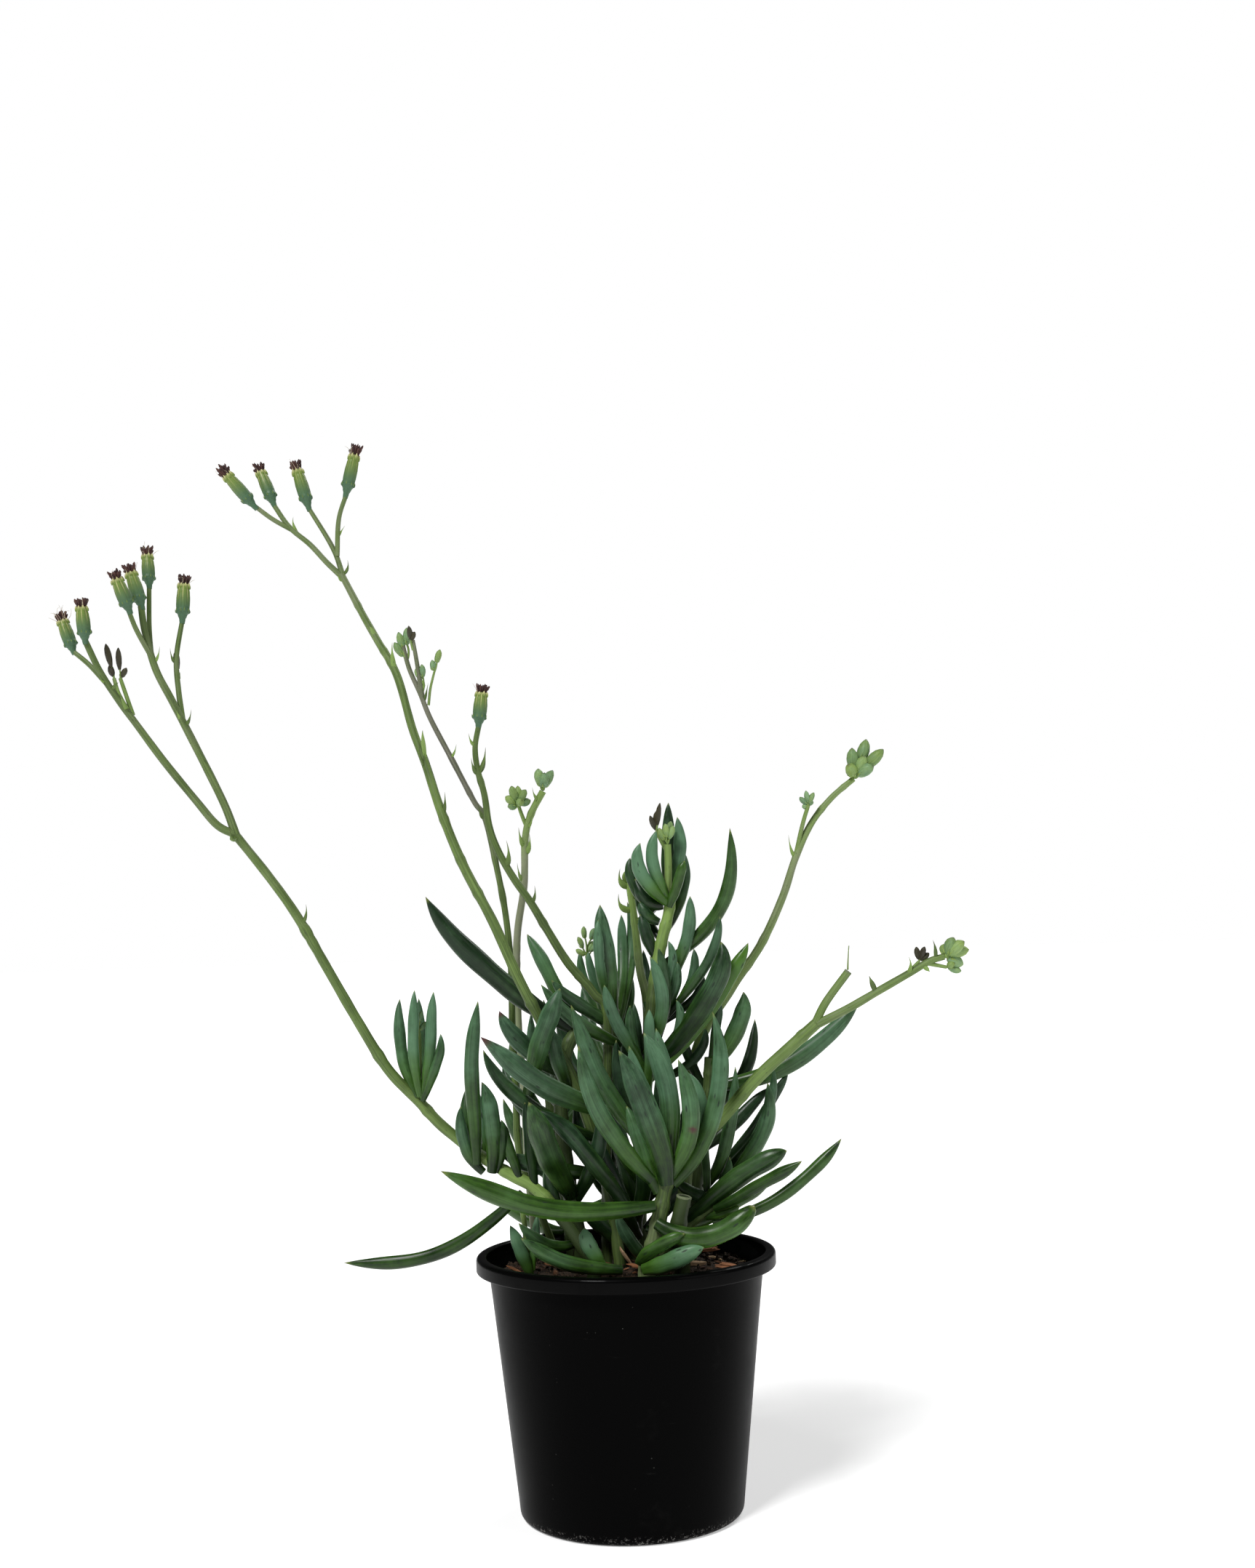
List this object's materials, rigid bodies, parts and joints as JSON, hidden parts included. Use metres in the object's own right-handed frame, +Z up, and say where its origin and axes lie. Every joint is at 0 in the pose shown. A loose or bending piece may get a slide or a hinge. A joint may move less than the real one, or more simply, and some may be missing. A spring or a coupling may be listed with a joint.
{
  "type": "potted finger-leaved succulent",
  "caption": "Branching succulent with long pointed fleshy leaves and tall flower stalks, rooted in a round black nursery pot.",
  "frame": {"origin": "centre of the flat underside of the pot", "axes": "+Z up along the pot's axis, +X to the right seen from the front, +Y away from the front"},
  "size_m": [0.4149, 0.14, 0.5119],
  "materials": {
    "black_plastic": "moulded black polypropylene, satin, with a glossy rolled lip and a few scuffs and specks of soil",
    "potting_mix": "loose dark brown mix of peat, fine bark and splinters",
    "bark": "rough red-brown bark chips",
    "stem": "fleshy yellow-green stems, finely ribbed, some tinged grey-purple",
    "leaf": "fleshy blue-green to dark green leaves with a waxy bloom, fine lines along them and yellow-green tips",
    "flower_head": "ribbed green cups with dry cream and maroon florets at the top"
  },
  "bodies": {
    "root": {"back_stem": "stem", "bark_chip_1": "bark", "bark_chip_2": "bark", "bark_chip_3": "bark", "centre_stem": "stem", "crown_leaf_1": "leaf", "crown_leaf_2": "leaf", "crown_leaf_3": "leaf", "crown_leaf_4": "leaf", "cut_stump": "stem", "dark_head_stalk": "stem", "flower_head_1": "flower_head", "flower_head_10": "flower_head", "flower_head_11": "flower_head", "flower_head_2": "flower_head", "flower_head_3": "flower_head", "flower_head_4": "flower_head", "flower_head_5": "flower_head", "flower_head_6": "flower_head", "flower_head_7": "flower_head", "flower_head_8": "flower_head", "flower_head_9": "flower_head", "front_leaf_1": "leaf", "front_leaf_2": "leaf", "front_leaf_3": "leaf", "front_leaf_4": "leaf", "front_leaf_5": "leaf", "front_stem": "stem", "hanging_leaf": "leaf", "left_leaf_1": "leaf", "left_leaf_2": "leaf", "left_leaf_3": "leaf", "left_stalk": "stem", "left_stem": "stem", "low_right_buds": "flower_head", "low_right_stalk": "stem", "pale_buds": "flower_head", "pale_stalk": "stem", "pot": "black_plastic", "potting_mix": "potting_mix", "right_buds": "flower_head", "right_leaf_1": "leaf", "right_leaf_2": "leaf", "right_leaf_3": "leaf", "right_leaf_4": "leaf", "right_stalk": "stem", "right_stem": "stem", "rim_leaf_1": "leaf", "rim_leaf_2": "leaf", "shoot_leaf": "leaf", "side_leaf_1": "leaf", "side_leaf_2": "leaf", "side_stem": "stem", "spiky_stalk": "stem", "sprout_stem": "stem", "tall_stalk": "stem", "thin_stalk": "stem", "upright_leaf_1": "leaf", "upright_leaf_2": "leaf", "upright_stem": "stem"}
  },
  "joints": []
}
